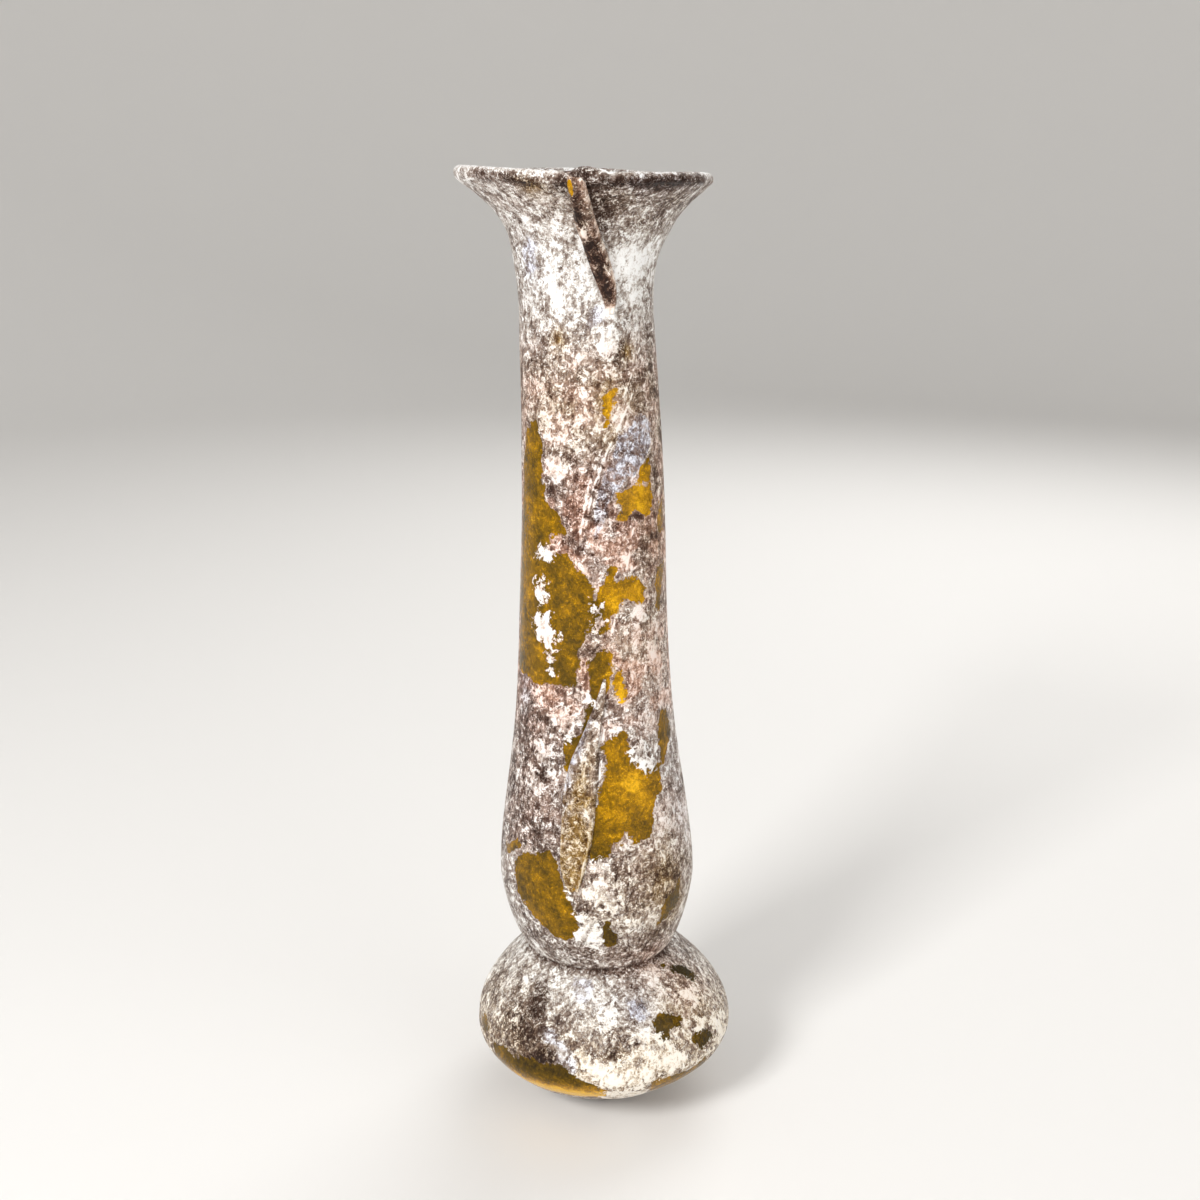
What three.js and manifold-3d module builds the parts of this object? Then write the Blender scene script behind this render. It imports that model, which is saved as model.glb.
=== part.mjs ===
// A tall tubular flask of blown amber glass, of the ancient kind made for scented oil.
// It was blown in one go: a squat foot bulb, a pinched waist, a long tube that swells above the waist,
// and a wide flared mouth with a rolled rim. Two trails of hot glass are fused to it: a strap that hangs
// from the rim down onto the neck, and the leaf-shaped tail of a lost handle low on the tube.
// Everything is one hollow body of glass, open at the mouth. Millimetres, +Z up, the foot stands on Z = 0.
import * as THREE from "three";
import { mergeVertices } from "three/addons/utils/BufferGeometryUtils.js";
import Module from "manifold-3d";

// The foot bulb
const ringRadius = 8.5; // outer edge of the flat ring that it stands on
const kickRadius = 5; // pushed-in centre of the underside
const kickDepth = 2;
const footRadius = 25.6; // at its widest
const footWidestHeight = 14.6;
const footShoulderHeight = 17; // from the widest level up to the waist
const footWall = 2.4;
const floorThickness = 2.8; // glass over the pushed-in centre

// The waist and the swelling above it
const waistRadius = 13.8; // in the fold, which the swelling overhangs
const waistWall = 2.6;
const waistThroat = 1.8; // glass above and below the fold, inside the waist
const swellRise = 15.4; // from the waist up to the widest level
const swellRadius = 19.1;
const swellFall = 47.5; // from there up to where the tube is straight

// The tube, which tapers evenly up to the neck
const tubeFootRadius = 14.3;
const tubeLength = 60.3;
const neckRadius = 12.1;
const tubeWall = 1.8;

// The mouth
const flareHeight = 24.3;
const rimRadius = 22.7;
const rimBead = 1.3; // radius of the rolled edge
const flareAngle = THREE.MathUtils.degToRad(48.5); // of the flare under the rim, from upright

// How the hand-made flask departs from true: how far its middle has strayed along X at each level
const leanAtRing = -2;
const leanAtWaist = -1;
const leanAtSwell = -1.45;
const leanAtTubeFoot = -2;
const leanAtMidTube = -2.1;
const leanAtNeck = -3.35;
const leanAtFlare = -2.9;
const leanAtRim = -3.65;
const rimTilt = -0.6; // the rim's right edge is this much lower than its middle, and its left edge higher
const rimWave = -0.2;
const rimWaves = 3; // dips and rises round the rim, a dip at the front

const turnSteps = 54; // flat faces round the body

// Heights that follow from the stretches above
const waistHeight = footWidestHeight + footShoulderHeight;
const swellHeight = waistHeight + swellRise;
const tubeFootHeight = swellHeight + swellFall;
const neckHeight = tubeFootHeight + tubeLength;
const totalHeight = neckHeight + flareHeight;

const at = (radius, height) => new THREE.Vector2(radius, height);

// Where the flare meets the rolled edge: side 1 on the outside, side -1 on the inside.
function flareEnd(side) {
  const centre = at(rimRadius - rimBead, totalHeight - rimBead);
  return centre.add(at(Math.cos(flareAngle), -Math.sin(flareAngle)).multiplyScalar(side * rimBead));
}

// The wall from the foot's widest level up to the rim, with how much glass is taken off its radius at the
// foot, the waist and the tube, and how far the fold's glass reaches up and down inside. Each stretch is a
// curve and its number of steps.
function wall(foot, waist, tube, throat, side, steps) {
  const swell = swellRadius - tube;
  const tubeFoot = tubeFootRadius - tube;
  const neck = neckRadius - tube;
  const taper = (tubeFootRadius - neckRadius) / tubeLength;
  const underTube = swellFall * 0.5;
  const end = flareEnd(side);
  const underRim = at(Math.sin(flareAngle), Math.cos(flareAngle)).multiplyScalar(flareHeight * 0.26);
  const fold = waistRadius - waist;
  const overFold = swellHeight - waistHeight - throat;
  return [
    [new THREE.QuadraticBezierCurve(
      at(footRadius - foot, footWidestHeight),
      at(footRadius - foot, footWidestHeight + (footShoulderHeight - throat) * 0.45),
      at(fold, waistHeight - throat),
    ), steps[0]],
    ...(throat ? [[new THREE.LineCurve(at(fold, waistHeight - throat), at(fold, waistHeight + throat)), 1]] : []),
    [new THREE.CubicBezierCurve(
      at(fold, waistHeight + throat),
      at(THREE.MathUtils.lerp(fold, swell, 0.48), waistHeight + throat + overFold * 0.05),
      at(swell, waistHeight + throat + overFold * 0.77),
      at(swell, swellHeight),
    ), steps[1]],
    [new THREE.CubicBezierCurve(
      at(swell, swellHeight),
      at(swell, swellHeight + swellFall * 0.25),
      at(tubeFoot + taper * underTube, tubeFootHeight - underTube),
      at(tubeFoot, tubeFootHeight),
    ), steps[2]],
    [new THREE.LineCurve(at(tubeFoot, tubeFootHeight), at(neck, neckHeight)), steps[3]],
    [new THREE.CubicBezierCurve(
      at(neck, neckHeight),
      at(neck, neckHeight + flareHeight * 0.65),
      end.clone().sub(underRim),
      end,
    ), steps[4]],
  ];
}

// From the middle of the underside, over the ring, to the foot's widest level.
function underside() {
  return [
    [new THREE.QuadraticBezierCurve(at(0, kickDepth), at(kickRadius * 0.6, kickDepth), at(kickRadius, 0)), 3],
    [new THREE.LineCurve(at(kickRadius, 0), at(ringRadius, 0)), 1],
    [new THREE.QuadraticBezierCurve(
      at(ringRadius, 0),
      at(footRadius, footWidestHeight * 0.63),
      at(footRadius, footWidestHeight),
    ), 7],
  ];
}

// The floor inside the foot bulb, out to the widest level.
function innerFloor() {
  const floor = kickDepth + floorThickness;
  const reach = footRadius - footWall;
  return [
    [new THREE.CubicBezierCurve(
      at(0, floor),
      at(reach * 0.55, floor),
      at(reach, floor + (footWidestHeight - floor) * 0.35),
      at(reach, footWidestHeight),
    ), 5],
  ];
}

function rolledEdge() {
  const centre = at(rimRadius - rimBead, totalHeight - rimBead);
  return [[new THREE.EllipseCurve(
    centre.x, centre.y, rimBead, rimBead, -flareAngle, Math.PI - flareAngle, false,
  ), 6]];
}

// The points along a row of stretches, each corner once.
function trace(stretches) {
  return stretches.flatMap(([curve, steps], i) => curve.getPoints(steps).slice(i ? 1 : 0));
}

const outside = trace([...underside(), ...wall(0, 0, 0, 0, 1, [7, 7, 8, 3, 9])]);
const insideSteps = [4, 5, 4, 2, 6];
const inside = trace([...innerFloor(), ...wall(footWall, waistWall, tubeWall, waistThroat, -1, insideSteps)]);
const profile = [...outside, ...trace(rolledEdge()).slice(1, -1), ...inside.reverse()];

// How far out a rising line of points is at a height.
function readAt(points, height) {
  const above = points.findIndex((p) => p.y >= height);
  if (above <= 0) return points.at(above).x;
  const [a, b] = [points[above - 1], points[above]];
  return THREE.MathUtils.mapLinear(height, a.y, b.y, a.x, b.x);
}

const outerWall = outside.filter((p) => p.y >= footWidestHeight);
const radiusAt = (height) => readAt(outerWall, height);

// A geometry as a solid: shared corners merged, triangles with no area dropped.
const wasm = await Module();
wasm.setup();
function solid(geometry) {
  for (const name of ["normal", "uv"]) geometry.deleteAttribute(name);
  const merged = mergeVertices(geometry, 1e-4);
  const corners = [];
  for (let i = 0; i < merged.index.count; i += 3) {
    const [a, b, c] = [0, 1, 2].map((k) => merged.index.getX(i + k));
    if (a !== b && b !== c && c !== a) corners.push(a, b, c);
  }
  return new wasm.Manifold(new wasm.Mesh({
    numProp: 3,
    vertProperties: merged.attributes.position.array,
    triVerts: new Uint32Array(corners),
  }));
}

// A place beside the body: azimuth 0 is the front (-Y) and turns towards +X.
function beside(azimuth, radius, height) {
  const turn = THREE.MathUtils.degToRad(azimuth);
  return new THREE.Vector3(radius * Math.sin(turn), -radius * Math.cos(turn), height);
}

// A trail of glass with an oval section, laid through stations of azimuth, height, radius of its middle,
// width across and thickness. It narrows to a point at each end.
function trail(stations, steps, sides = 10) {
  const middle = new THREE.CatmullRomCurve3(stations.map((s) => beside(s.azimuth, s.radius, s.height)));
  const section = new THREE.CatmullRomCurve3(
    stations.map((s, i) => new THREE.Vector3(s.width, s.thickness, i)),
  );
  const corners = [middle.getPoint(0)];
  for (let i = 1; i < steps; i++) {
    const t = i / steps;
    const centre = middle.getPoint(t);
    const { x: width, y: thickness } = section.getPoint(t);
    const along = middle.getTangent(t);
    const away = new THREE.Vector3(centre.x, centre.y, 0).normalize();
    const across = along.clone().cross(away).normalize();
    const out = across.clone().cross(along).normalize();
    for (let j = 0; j < sides; j++) {
      const turn = (2 * Math.PI * j) / sides;
      corners.push(centre.clone()
        .addScaledVector(across, (Math.cos(turn) * width) / 2)
        .addScaledVector(out, (Math.sin(turn) * thickness) / 2));
    }
  }
  corners.push(middle.getPoint(1));
  const last = corners.length - 1;
  const ring = (i, j) => 1 + (i - 1) * sides + (j % sides);
  const faces = [];
  for (let j = 0; j < sides; j++) {
    faces.push(0, ring(1, j), ring(1, j + 1));
    faces.push(last, ring(steps - 1, j + 1), ring(steps - 1, j));
    for (let i = 1; i < steps - 1; i++) {
      faces.push(ring(i, j), ring(i + 1, j), ring(i, j + 1));
      faces.push(ring(i, j + 1), ring(i + 1, j), ring(i + 1, j + 1));
    }
  }
  const geometry = new THREE.BufferGeometry().setFromPoints(corners);
  geometry.setIndex(faces);
  return geometry;
}

// The strap: fused on the rim, it bridges the hollow of the flare and lies down along the neck.
const strapWidth = 3;
const strapThickness = 1.6;
const strapDrop = 25; // from the rim down to its lower tip
const strapStart = -3.5; // azimuth at the rim, in degrees
const strapTurn = 24; // how far round it has wandered at its tip
const strapStandOff = 2.2; // clear of the flare where it bridges it
function strap() {
  const down = [0, 0.06, 0.19, 0.34, 0.48, 0.63, 0.78, 0.9, 1];
  const off = [0, 0.3, 0.9, 1, 0.6, 0.25, 0.1, 0.05, -0.1]; // share of the stand-off
  const width = [0.9, 0.9, 1, 1.05, 1, 1.05, 0.95, 0.7, 0.3];
  const turned = [0, 0.03, 0.06, 0.12, 0.3, 0.58, 0.84, 0.98, 1];
  return trail(down.map((share, i) => {
    const height = totalHeight - rimBead * 0.9 - share * (strapDrop - rimBead * 0.9);
    return {
      azimuth: strapStart + strapTurn * turned[i],
      height,
      radius: radiusAt(height) + strapStandOff * off[i] - (i ? 0 : rimBead * 0.4),
      width: strapWidth * width[i],
      thickness: strapThickness,
    };
  }), 22);
}

// The low pad under the strap's tip, where the rest of it was broken away.
const padWidth = 7;
const padHeight = 8;
const padThickness = 1.4; // half of it stands proud of the wall
const padAzimuth = 18;
const padDrop = 28; // from the rim down to its middle
function pad() {
  const level = totalHeight - padDrop;
  const place = beside(padAzimuth, radiusAt(level), level);
  return new THREE.SphereGeometry(0.5, 12, 8)
    .scale(padWidth, padThickness, padHeight)
    .rotateZ(THREE.MathUtils.degToRad(padAzimuth))
    .translate(place.x, place.y, place.z);
}

// The lump of glass on the rim where the strap was drawn off.
const knobWidth = 6.4;
const knobHeight = 3;
const knobDepth = 3.4;
const knobAzimuth = 3;
function knob() {
  const lump = new THREE.SphereGeometry(0.5, 14, 10);
  lump.scale(knobWidth, knobDepth, knobHeight);
  const place = beside(knobAzimuth, rimRadius - rimBead, totalHeight - rimBead * 0.7);
  return lump.translate(place.x, place.y, place.z);
}

// The tail of the lost handle: a long leaf, widest in its lower part.
const tailTop = 88.9; // below the rim
const tailLength = 40;
const tailWidth = 6.2;
const tailThickness = 1.9; // half of it stands proud of the wall
const tailStart = 8; // azimuth of its upper tip, in degrees
const tailTurn = -21.5;
function tail() {
  const down = [0, 0.1, 0.2, 0.3, 0.4, 0.5, 0.65, 0.8, 0.92, 1];
  const width = [0.08, 0.27, 0.4, 0.56, 0.82, 0.96, 1, 0.9, 0.62, 0.3];
  const thickness = [0.4, 0.8, 1, 1, 0.95, 0.9, 0.8, 0.65, 0.5, 0.3];
  const turned = [0, 0.14, 0.33, 0.5, 0.66, 0.77, 0.86, 0.94, 1, 0.97];
  return trail(down.map((share, i) => {
    const height = totalHeight - tailTop - share * tailLength;
    return {
      azimuth: tailStart + tailTurn * turned[i],
      height,
      radius: radiusAt(height),
      width: tailWidth * width[i],
      thickness: tailThickness * thickness[i],
    };
  }), 20);
}

// The whole flask turned true and upright, as one body.
function trueFlask() {
  const body = new THREE.LatheGeometry(profile, turnSteps).rotateX(Math.PI / 2);
  return [strap(), pad(), knob(), tail()].reduce((whole, piece) => whole.add(solid(piece)), solid(body));
}

// The line that the middle of the hand-made flask follows.
const middleLine = new THREE.SplineCurve([
  at(leanAtRing, 0),
  at(0, footWidestHeight),
  at(leanAtWaist, waistHeight),
  at(leanAtSwell, swellHeight),
  at(leanAtTubeFoot, tubeFootHeight),
  at(leanAtMidTube, tubeFootHeight + tubeLength * 0.5),
  at(leanAtNeck, neckHeight + flareHeight * 0.2),
  at(leanAtFlare, neckHeight + flareHeight * 0.6),
  at(leanAtRim, totalHeight),
]).getPoints(84);

// Gives the true flask its lean and its uneven rim.
function settle(positions) {
  for (let i = 0; i < positions.length; i += 3) {
    const [x, y, z] = positions.slice(i, i + 3);
    const inFlare = THREE.MathUtils.smoothstep(z, neckHeight, totalHeight);
    const wave = rimWave * Math.cos(rimWaves * Math.atan2(x, -y));
    positions[i] = x + readAt(middleLine, z);
    positions[i + 2] = z + inFlare * (rimTilt * (x / rimRadius) + wave);
  }
  return positions;
}

const mesh = trueFlask().getMesh();
const flask = new THREE.BufferGeometry();
flask.setAttribute("position", new THREE.BufferAttribute(settle(mesh.vertProperties), 3));
flask.setIndex(new THREE.BufferAttribute(mesh.triVerts, 1));
flask.computeVertexNormals();

// Amber glass under a pale, pearly crust of weathering.
const weatheredGlass = new THREE.MeshStandardMaterial({
  color: 0xb9a894,
  roughness: 0.5,
  metalness: 0,
});

const vessel = new THREE.Mesh(flask, weatheredGlass);
vessel.name = "vessel";

const group = new THREE.Group();
group.name = "glass_unguentarium";
group.add(vessel);

export default group;
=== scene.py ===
import math

import bmesh
import bpy
import numpy as np
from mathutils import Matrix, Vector


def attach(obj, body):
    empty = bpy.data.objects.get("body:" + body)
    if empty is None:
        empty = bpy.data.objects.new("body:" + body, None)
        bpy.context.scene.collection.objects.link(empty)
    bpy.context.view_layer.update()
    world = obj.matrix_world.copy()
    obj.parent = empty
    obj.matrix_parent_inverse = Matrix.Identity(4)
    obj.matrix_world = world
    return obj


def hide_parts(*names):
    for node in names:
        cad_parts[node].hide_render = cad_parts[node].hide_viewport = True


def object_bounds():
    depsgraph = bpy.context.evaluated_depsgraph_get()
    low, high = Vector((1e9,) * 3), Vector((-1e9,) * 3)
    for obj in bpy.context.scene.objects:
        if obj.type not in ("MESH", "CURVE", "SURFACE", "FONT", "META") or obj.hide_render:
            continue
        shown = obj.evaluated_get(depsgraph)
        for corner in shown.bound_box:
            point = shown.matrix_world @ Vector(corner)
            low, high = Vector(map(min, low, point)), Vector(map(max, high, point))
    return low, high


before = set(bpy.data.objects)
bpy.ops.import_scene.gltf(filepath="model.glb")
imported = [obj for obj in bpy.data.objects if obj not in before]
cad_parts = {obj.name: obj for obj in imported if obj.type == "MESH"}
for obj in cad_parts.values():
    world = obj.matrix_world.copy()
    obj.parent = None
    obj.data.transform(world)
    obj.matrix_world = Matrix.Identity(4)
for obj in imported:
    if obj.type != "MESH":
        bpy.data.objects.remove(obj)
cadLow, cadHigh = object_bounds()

# A tall tubular flask of blown amber glass under a pearly weathering crust, with a strap of glass from
# the rim to the neck and the leaf-shaped tail of a lost handle. Sizes are millimetres until a mesh is
# made. Azimuth 0 is the front (-Y) and turns towards +X.

flask = {
    "ringRadius": 8.5,
    "kickRadius": 5.0,
    "kickDepth": 2.0,
    "footRadius": 25.6,
    "footWidestHeight": 14.6,
    "footShoulderHeight": 17.0,
    "footWall": 2.4,
    "floorThickness": 2.8,
    "waistRadius": 13.8,
    "waistWall": 2.6,
    "waistThroat": 1.8,
    "swellRise": 15.4,
    "swellRadius": 19.1,
    "swellFall": 47.5,
    "tubeFootRadius": 14.3,
    "tubeLength": 60.3,
    "neckRadius": 12.1,
    "tubeWall": 1.8,
    "flareHeight": 24.3,
    "rimRadius": 22.7,
    "rimBead": 1.3,
    "flareAngle": math.radians(48.5),
    "rimTilt": -0.6,
    "rimWave": -0.2,
    "rimWaves": 3,
    "leans": [-2.0, 0.0, -1.0, -1.45, -2.0, -2.1, -3.35, -2.9, -3.65],
    "columns": 224,
    "outerRows": 350,
    "rimRows": 12,
    "innerRows": 66,
    "filmedInnerRows": 20,
    "crustRelief": 0.16,
    "filmRelief": 0.05,
    "scratchRelief": 0.1,
    "reliefSunk": 0.12,
    "swells": 0.5,
    "ripples": 0.14,
    "trailRipple": 0.12,
}

waistHeight = flask["footWidestHeight"] + flask["footShoulderHeight"]
swellHeight = waistHeight + flask["swellRise"]
tubeFootHeight = swellHeight + flask["swellFall"]
neckHeight = tubeFootHeight + flask["tubeLength"]
totalHeight = neckHeight + flask["flareHeight"]


# Bezier curve of any degree: corner points weighted by the binomial polynomials of t.
def bezier(corners, count=60):
    t = np.linspace(0, 1, count)[:, None]
    corners = np.array(corners, float)
    n = len(corners) - 1
    return sum(math.comb(n, k) * (1 - t) ** (n - k) * t**k * corners[k] for k in range(n + 1))


# A line of points read again at even steps along its own length.
def evenSteps(line, count):
    run = np.concatenate([[0], np.cumsum(np.hypot(*np.diff(line, axis=0).T))])
    at = np.linspace(0, run[-1], count)
    return np.stack([np.interp(at, run, line[:, k]) for k in range(2)], axis=1)


# Catmull-Rom curve through stations: each span is a cubic that leaves and meets its ends along the
# line between its neighbours.
def throughStations(stations, count):
    p = np.array(stations, float)
    p = np.concatenate([[2 * p[0] - p[1]], p, [2 * p[-1] - p[-2]]])
    at = np.linspace(0, len(p) - 3 - 1e-9, count)
    i = at.astype(int)
    t = (at - i)[:, None]
    a, b, c, d = p[i], p[i + 1], p[i + 2], p[i + 3]
    return 0.5 * (2 * b + (c - a) * t + (2 * a - 5 * b + 4 * c - d) * t**2 + (3 * b - a - 3 * c + d) * t**3)


# The flask's wall as radius and height, from the foot's widest level up to the rim: Bezier spans that
# meet upright at the foot, the fold and the swelling, and end along the flare's slope. Each named wall
# is taken off the radius on the inside, and the throat keeps the fold straight for its own height.
def wallLine(foot, waist, tube, throat, side):
    s = flask
    swell, tubeFoot, neck = s["swellRadius"] - tube, s["tubeFootRadius"] - tube, s["neckRadius"] - tube
    taper = (s["tubeFootRadius"] - s["neckRadius"]) / s["tubeLength"]
    underTube = s["swellFall"] * 0.5
    tilt = np.array([math.sin(s["flareAngle"]), math.cos(s["flareAngle"])])
    bead = np.array([s["rimRadius"] - s["rimBead"], totalHeight - s["rimBead"]])
    end = bead + side * s["rimBead"] * np.array([tilt[1], -tilt[0]])
    fold = s["waistRadius"] - waist
    overFold = swellHeight - waistHeight - throat
    return np.concatenate([
        bezier([(s["footRadius"] - foot, s["footWidestHeight"]),
                (s["footRadius"] - foot, s["footWidestHeight"] + (s["footShoulderHeight"] - throat) * 0.45),
                (fold, waistHeight - throat)]),
        bezier([(fold, waistHeight + throat),
                (fold + (swell - fold) * 0.48, waistHeight + throat + overFold * 0.05),
                (swell, waistHeight + throat + overFold * 0.77),
                (swell, swellHeight)])[0 if throat else 1:],
        bezier([(swell, swellHeight),
                (swell, swellHeight + s["swellFall"] * 0.25),
                (tubeFoot + taper * underTube, tubeFootHeight - underTube),
                (tubeFoot, tubeFootHeight)])[1:],
        bezier([(tubeFoot, tubeFootHeight), (neck, neckHeight)])[1:],
        bezier([(neck, neckHeight),
                (neck, neckHeight + s["flareHeight"] * 0.65),
                end - tilt * s["flareHeight"] * 0.26,
                end])[1:],
    ])


# The outside: the pushed-in middle of the underside, the flat ring, the curve up to the foot's widest
# level, then the wall.
def outsideLine():
    s = flask
    under = np.concatenate([
        bezier([(0, s["kickDepth"]), (s["kickRadius"] * 0.6, s["kickDepth"]), (s["kickRadius"], 0)]),
        bezier([(s["kickRadius"], 0), (s["ringRadius"], 0)])[1:],
        bezier([(s["ringRadius"], 0), (s["footRadius"], s["footWidestHeight"] * 0.63),
                (s["footRadius"], s["footWidestHeight"])])[1:],
    ])
    return np.concatenate([under, wallLine(0, 0, 0, 0, 1)[1:]])


# The inside: a floor of even thickness that curves up to the foot's widest level, then the wall less its
# thickness.
def insideLine():
    s = flask
    floor = s["kickDepth"] + s["floorThickness"]
    reach = s["footRadius"] - s["footWall"]
    bottom = bezier([(0, floor), (reach * 0.55, floor),
                     (reach, floor + (s["footWidestHeight"] - floor) * 0.35), (reach, s["footWidestHeight"])])
    wall = wallLine(s["footWall"], s["waistWall"], s["tubeWall"], s["waistThroat"], -1)
    return np.concatenate([bottom, wall[1:]])


# The rolled rim: half a circle from the end of the outer wall to the end of the inner one.
def rimLine():
    s = flask
    turn = np.linspace(-s["flareAngle"], math.pi - s["flareAngle"], 60)[1:-1]
    centre = np.array([s["rimRadius"] - s["rimBead"], totalHeight - s["rimBead"]])
    return centre + s["rimBead"] * np.stack([np.cos(turn), np.sin(turn)], axis=1)


outside = evenSteps(outsideLine(), flask["outerRows"])
rim = evenSteps(rimLine(), flask["rimRows"])
inside = evenSteps(insideLine(), flask["innerRows"])[::-1]
profile = np.concatenate([outside, rim, inside])
outerPath = np.concatenate([[0], np.cumsum(np.hypot(*np.diff(outside, axis=0).T))])
overRing = outside[:, 1] > 0.02
overRing[: np.argmax(outside[:, 0] > flask["ringRadius"])] = False
radiusAt = lambda height: np.interp(height, outside[overRing, 1], outside[overRing, 0])
pathAt = lambda height: np.interp(height, outside[overRing, 1], outerPath[overRing])

leanHeights = [0, flask["footWidestHeight"], waistHeight, swellHeight, tubeFootHeight,
               tubeFootHeight + flask["tubeLength"] * 0.5, neckHeight + flask["flareHeight"] * 0.2,
               neckHeight + flask["flareHeight"] * 0.6, totalHeight]
middleLine = throughStations(list(zip(flask["leans"], leanHeights)), 85)


# Lean: each level slides sideways with the middle line. Rim: heights in the flare gain a tilt across X
# and a slow wave round the mouth, eased in from the neck up.
def settle(p):
    x, y, z = p[..., 0], p[..., 1], p[..., 2]
    t = np.clip((z - neckHeight) / (totalHeight - neckHeight), 0, 1)
    ease = t * t * (3 - 2 * t)
    wave = flask["rimWave"] * np.cos(flask["rimWaves"] * np.arctan2(x, -y))
    lean = np.interp(z, middleLine[:, 1], middleLine[:, 0])
    return np.stack([x + lean, y, z + ease * (flask["rimTilt"] * x / flask["rimRadius"] + wave)], axis=-1)


# Value noise: random numbers on a cubic lattice, blended smoothly between corners, summed over octaves
# that halve in size and strength. 0 to 1, about 0.5.
def cloud(p, size, seed, octaves=3):
    lattice = np.random.default_rng(seed).random((32, 32, 32))
    total, weight = 0, 0
    for k in range(octaves):
        q = p / size * 2**k + 11.3 * k
        cell = np.floor(q).astype(int)
        f = q - cell
        f = f * f * (3 - 2 * f)
        value = 0
        for corner in np.ndindex(2, 2, 2):
            share = np.prod(np.where(corner, f, 1 - f), axis=-1)
            i = (cell + corner) % 32
            value = value + share * lattice[i[..., 0], i[..., 1], i[..., 2]]
        total, weight = total + value / 2**k, weight + 1 / 2**k
    return total / weight


# How far the hand-blown wall strays from true, in millimetres: broad swells and faint upright ripples.
def unevenness(p):
    swell = (cloud(p, 26, 13, 2) - 0.5) * flask["swells"]
    ripple = (cloud(p * [1, 1, 0.25], 5, 14, 2) - 0.5) * flask["ripples"]
    return swell + ripple - 0.1


# Signed distance in millimetres on the unrolled wall to an outline of (azimuth, height) corners:
# nearest point on any side, positive inside by the even-odd rule. The wall is cut open opposite the
# outline's middle, so an outline may lie across the back.
def insideOf(outline, turn, radius, along):
    middle = math.radians(np.mean([a for a, h in outline]))
    across = radius * ((turn - middle + math.pi) % (2 * math.pi) - math.pi + middle)
    corners = np.array([(math.radians(a) * radiusAt(h), pathAt(h)) for a, h in outline])
    nearest, inside = np.full(across.shape, 1e9), np.zeros(across.shape, bool)
    for (ax, ay), (bx, by) in zip(corners, np.roll(corners, -1, axis=0)):
        dx, dy = bx - ax, by - ay
        t = np.clip(((across - ax) * dx + (along - ay) * dy) / (dx * dx + dy * dy + 1e-9), 0, 1)
        nearest = np.minimum(nearest, np.hypot(across - ax - t * dx, along - ay - t * dy))
        crosses = (ay > along) != (by > along)
        inside ^= crosses & (across < ax + (along - ay) * dx / np.where(abs(dy) < 1e-9, 1e-9, dy))
    return np.where(inside, nearest, -nearest)


# Distance in millimetres to the nearest of several polylines of (azimuth, height).
def nearLines(lines, across, along):
    nearest = np.full(across.shape, 9.0)
    for line in lines:
        p = [(math.radians(a) * radiusAt(h), pathAt(h)) for a, h in line]
        for (ax, ay), (bx, by) in zip(p, p[1:]):
            dx, dy = bx - ax, by - ay
            t = np.clip(((across - ax) * dx + (along - ay) * dy) / (dx * dx + dy * dy), 0, 1)
            nearest = np.minimum(nearest, np.hypot(across - ax - t * dx, along - ay - t * dy))
    return nearest


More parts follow.
